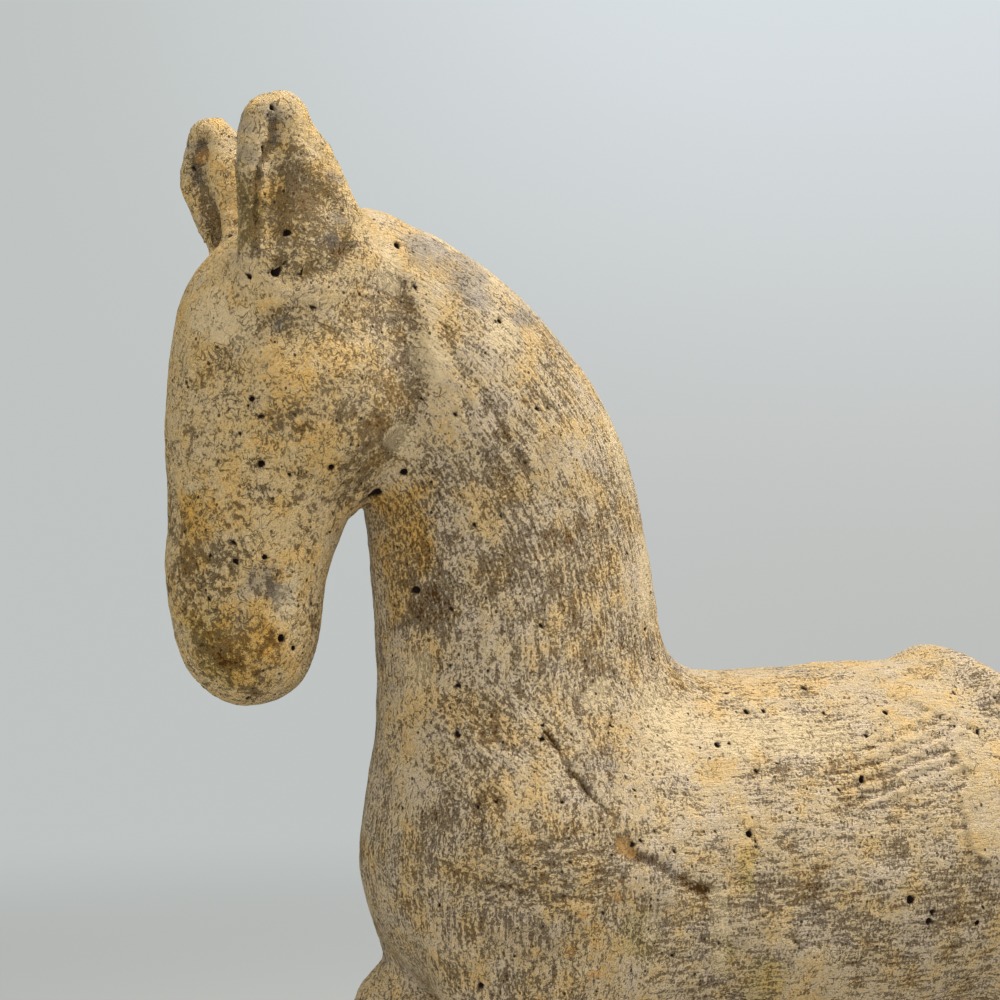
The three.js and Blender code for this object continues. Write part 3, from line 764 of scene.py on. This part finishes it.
def clay_material():
    material = bpy.data.materials.new("weathered_clay")
    material.use_nodes = True
    n = Nodes(material)
    place, flow = n.attribute("place", True), n.attribute("neck_flow", True)
    w_down, w_along, w_slant = (n.attribute(k) for k in ("w_down", "w_along", "w_slant"))
    w_head = n.attribute("w_head")

    cloud = n.noise(place, (0.04,) * 3, 3, 0.55)
    middle = n.noise(place, (0.15,) * 3, 3, 0.65)
    down = n.noise(flow, (0.85, 0.85, 0.13), 3, 0.75)
    along = n.noise(place, (0.14, 0.8, 0.75), 3, 0.75)
    slant = n.noise(n.attribute("slanted", True), (0.8, 0.5, 0.12), 3, 0.75)
    round_ = n.noise(place, (0.5,) * 3, 3, 0.75)
    speck = n.noise(place, (1.25, 1.25, 1.05), 3, 0.75)
    drift = n.noise(place, (0.085,) * 3, 4, 0.7)
    wander = n.noise(place, (0.30, 0.30, 0.25), 2, 0.6, 0.7)

    rest = n.math("SUBTRACT", 1.0, n.total((w_down, 1), (w_along, 1), (w_slant, 1)), clamp=True)
    stroke = n.total((n.math("MULTIPLY", down, w_down), 1), (n.math("MULTIPLY", along, w_along), 1),
                     (n.math("MULTIPLY", slant, w_slant), 1), (n.math("MULTIPLY", round_, rest), 1))

    # Thin wandering cracks, in places only
    crack = n.math("ABSOLUTE", n.math("SUBTRACT", wander, 0.5))
    crack = n.math("SUBTRACT", 1.0, n.steps(crack, 0.003, 0.022))
    crack = n.math("MULTIPLY", crack, n.steps(n.total((middle, 1), (w_head, 0.07)), 0.50, 0.60))

    # How much slip is left: high is pale and whole, low is bare brown clay. Painted light and shade are
    # added to it below: the relief shading darkens hollows and pales ridges, up pales faces that point
    # upwards, the dark patches bring painted shade, and the head is paler, partly its own colour and
    # partly painted light.
    left = n.total((stroke, BY_STROKE), (speck, BY_SPECK), (middle, BY_MIDDLE), (cloud, BY_CLOUD),
                   add=SLIP_LEFT - 0.5 * (BY_STROKE + BY_SPECK + BY_MIDDLE + BY_CLOUD))
    calm = n.math("MULTIPLY", n.math("SUBTRACT", left, 0.62), w_head)
    left = n.total((left, 1.0), (calm, -0.38), (n.attribute("painted_relief_shading"), -0.40), (n.attribute("up"), 0.20),
                   (n.attribute("dark_and_shade"), -0.36), (w_head, 0.15), (n.attribute("worm"), -0.4))
    bounded = n.math("ADD", left, 0.0, clamp=True)
    colour = n.ramp(bounded, [
        (0.0, (0.090, 0.040, 0.008)), (1.0, (0.80, 0.628, 0.400)), (0.20, (0.190, 0.102, 0.034)),
        (0.40, (0.335, 0.212, 0.094)), (0.50, (0.480, 0.338, 0.172)), (0.74, (0.610, 0.455, 0.258)),
    ])

    def broken(name, strength, low=0.3, high=0.7):
        """The patch's mask, a stain or, among the pale ones, painted light, with its edge broken up by
        the finer noise.
        """
        mask = n.attribute(name)
        ragged = n.total((mask, 1.0), (speck, 1.5), (middle, 1.3), add=-1.4)
        inside = n.math("MULTIPLY", mask, 4.0, clamp=True)
        return n.math("MULTIPLY", n.math("MULTIPLY", n.steps(ragged, low, high), inside), strength)

    colour = n.mix(n.steps(drift, 0.50, 0.62), colour, (1.07, 0.975, 0.78), "MULTIPLY")
    colour = n.mix(n.steps(drift, 0.50, 0.38), colour, (0.975, 1.01, 1.15), "MULTIPLY")
    colour = n.mix(w_head, colour, (1.0, 0.94, 0.77), "MULTIPLY")
    colour = n.mix(broken("ochre", 0.75, 0.25, 1.05), colour, (1.0, 0.80, 0.36), "MULTIPLY")
    colour = n.mix(broken("olive", 0.7, 0.25, 1.0), colour, (0.84, 0.82, 0.55), "MULTIPLY")
    # Pale slip, with a little painted light among its patches
    colour = n.mix(broken("pale", 0.80, 0.3, 0.8), colour, (0.76, 0.595, 0.365))
    blue = broken("blue", 1.0, 0.3, 1.3)
    colour = n.mix(n.math("MULTIPLY", blue, 0.9), colour, (0.70, 0.74, 0.86), "MULTIPLY")
    colour = n.mix(n.math("MULTIPLY", blue, 0.36), colour, (0.25, 0.24, 0.238))
    colour = n.mix(broken("orange", 0.75, 0.25, 0.5), colour, (0.66, 0.38, 0.14))
    colour = n.mix(n.math("MULTIPLY", crack, 0.62), colour, (0.085, 0.055, 0.028))

    # Fine burnt-out pits: near-black dots painted as the shade inside them, and a dent in the bump
    holes = n.add("ShaderNodeTexVoronoi", feature="F1")
    n.feed(holes.inputs["Vector"], n.scaled(place, (0.42, 0.42, 0.36)))
    holes.inputs["Scale"].default_value = 1.0
    parts = n.add("ShaderNodeSeparateColor")
    n.feed(parts.inputs[0], holes.outputs["Color"])
    wide = n.math("MULTIPLY", n.steps(parts.outputs[0], 0.5, 1.0), 0.20)
    pin = n.steps(n.math("SUBTRACT", wide, holes.outputs["Distance"]), -0.02, 0.05)
    colour = n.mix(n.math("MULTIPLY", pin, 0.85), colour, (0.040, 0.026, 0.018))
    # Painted shade: near black deep in the larger pits and the throat hole
    colour = n.mix(n.steps(n.attribute("pit_shade"), 0.2, 0.75), colour, (0.022, 0.014, 0.012))

    height = n.total((n.steps(left, 0.30, 0.62), 0.55), (stroke, 1.2), (speck, 0.8), (pin, -0.6),
                     (crack, -0.5))
    rise = n.add("ShaderNodeBump")
    rise.inputs["Strength"].default_value = 1.0
    rise.inputs["Distance"].default_value = 0.0016
    n.feed(rise.inputs["Height"], height)

    shader = n.add("ShaderNodeBsdfPrincipled")
    n.feed(shader.inputs["Base Color"], colour)
    n.feed(shader.inputs["Normal"], rise.outputs[0])
    shader.inputs["Roughness"].default_value = 0.88
    shader.inputs["Specular IOR Level"].default_value = 0.10
    out = n.add("ShaderNodeOutputMaterial")
    n.feed(out.inputs["Surface"], shader.outputs[0])
    return material


mesh.materials.append(clay_material())
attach(body, "root")
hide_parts("pottery_horse")

# ------------------------------------------------------------- stage and light

FLOOR_COLOUR = (0.36, 0.372, 0.375, 1)


def studio_material():
    """Matt grey floor; the wall above it glows evenly, paler towards the top."""
    material = bpy.data.materials.new("studio_grey")
    material.use_nodes = True
    n = Nodes(material)
    matt = n.add("ShaderNodeBsdfPrincipled")
    matt.inputs["Base Color"].default_value = FLOOR_COLOUR
    matt.inputs["Roughness"].default_value = 0.9
    matt.inputs["Specular IOR Level"].default_value = 0.1
    where = n.add("ShaderNodeNewGeometry")
    parts = n.add("ShaderNodeSeparateXYZ")
    n.feed(parts.inputs[0], where.outputs["Position"])
    flat = n.add("ShaderNodeVectorMath", operation="LENGTH")
    n.feed(flat.inputs[0], n.scaled(where.outputs["Position"], (1, 1, 0)))
    tone = n.ramp(n.steps(parts.outputs[2], -0.1, 1.3), [
        (0.0, (0.500, 0.505, 0.485)), (1.0, (0.70, 0.75, 0.78)), (0.4, (0.570, 0.585, 0.580))])
    tone = n.mix(n.steps(parts.outputs[0], 1.4, 0.2), tone, (0.525, 0.555, 0.545))
    glow = n.add("ShaderNodeEmission")
    n.feed(glow.inputs["Color"], tone)
    both = n.add("ShaderNodeMixShader")
    n.feed(both.inputs[0], n.math("MAXIMUM", n.steps(parts.outputs[2], 0.0, 0.12),
                                  n.steps(flat.outputs["Value"], 0.8, 1.5)))
    n.feed(both.inputs[1], matt.outputs[0])
    n.feed(both.inputs[2], glow.outputs[0])
    out = n.add("ShaderNodeOutputMaterial")
    n.feed(out.inputs["Surface"], both.outputs[0])
    return material


def bowl(flat=1.5, cove=1.5, top=4.0, around=96):
    """Floor that curves up into a round wall."""
    profile = [(0.001, 0.0), (flat, 0.0)]
    profile += [(flat + cove * math.sin(a), cove * (1 - math.cos(a)))
                for a in np.linspace(0, math.pi / 2, 17)[1:]]
    profile.append((flat + cove, top))
    verts, faces = [], []
    for r, z in profile:
        verts += [(r * math.cos(t), r * math.sin(t), z)
                  for t in np.linspace(0, 2 * math.pi, around, endpoint=False)]
    for i in range(len(profile) - 1):
        for j in range(around):
            k = (j + 1) % around
            faces.append((i * around + j, i * around + k, (i + 1) * around + k, (i + 1) * around + j))
    wall = bpy.data.meshes.new("studio_floor")
    wall.from_pydata(verts, [], faces)
    for polygon in wall.polygons:
        polygon.use_smooth = True
    wall.materials.append(studio_material())
    made = bpy.data.objects.new("studio_floor", wall)
    bpy.context.scene.collection.objects.link(made)
    return made


floor = bowl()
floor.location.z = cad_low.z

aim = to_frame(-75, 0, 312)


def area_light(name, place, size, power, colour):
    lamp = bpy.data.lights.new(name, "AREA")
    lamp.shape = "DISK"
    lamp.size = size
    lamp.energy = power
    lamp.color = colour
    made = bpy.data.objects.new(name, lamp)
    made.location = place
    made.rotation_euler = (aim - Vector(place)).to_track_quat("-Z", "Y").to_euler()
    bpy.context.scene.collection.objects.link(made)


area_light("key", (0.85, -0.35, 1.9), 0.9, 45, (1.0, 0.97, 0.92))
area_light("top", (0.1, 0.2, 2.0), 1.2, 12, (1.0, 0.97, 0.93))
area_light("fill", (-0.75, -1.15, 0.45), 1.0, 7.0, (1.0, 0.93, 0.79))

world = bpy.data.worlds.new("soft_room")
bpy.context.scene.world = world
world.use_nodes = True
world.node_tree.nodes["Background"].inputs["Color"].default_value = (1.0, 0.95, 0.83, 1)
world.node_tree.nodes["Background"].inputs["Strength"].default_value = 0.32

# ---------------------------------------------------------------------- camera

VIEW_TURN, VIEW_DISTANCE = 22.0, 0.700
turn = math.radians(VIEW_TURN)
camera = bpy.data.cameras.new("camera")
camera.lens = 84
camera.sensor_width = 36
camera.clip_start = 0.02
made_camera = bpy.data.objects.new("camera", camera)
made_camera.location = aim - Vector((math.sin(turn), math.cos(turn), 0)) * VIEW_DISTANCE
made_camera.rotation_euler = (math.radians(90), 0, -turn)
bpy.context.scene.collection.objects.link(made_camera)
bpy.context.scene.camera = made_camera

bpy.context.scene.view_settings.view_transform = "Standard"
bpy.context.scene.view_settings.look = "None"
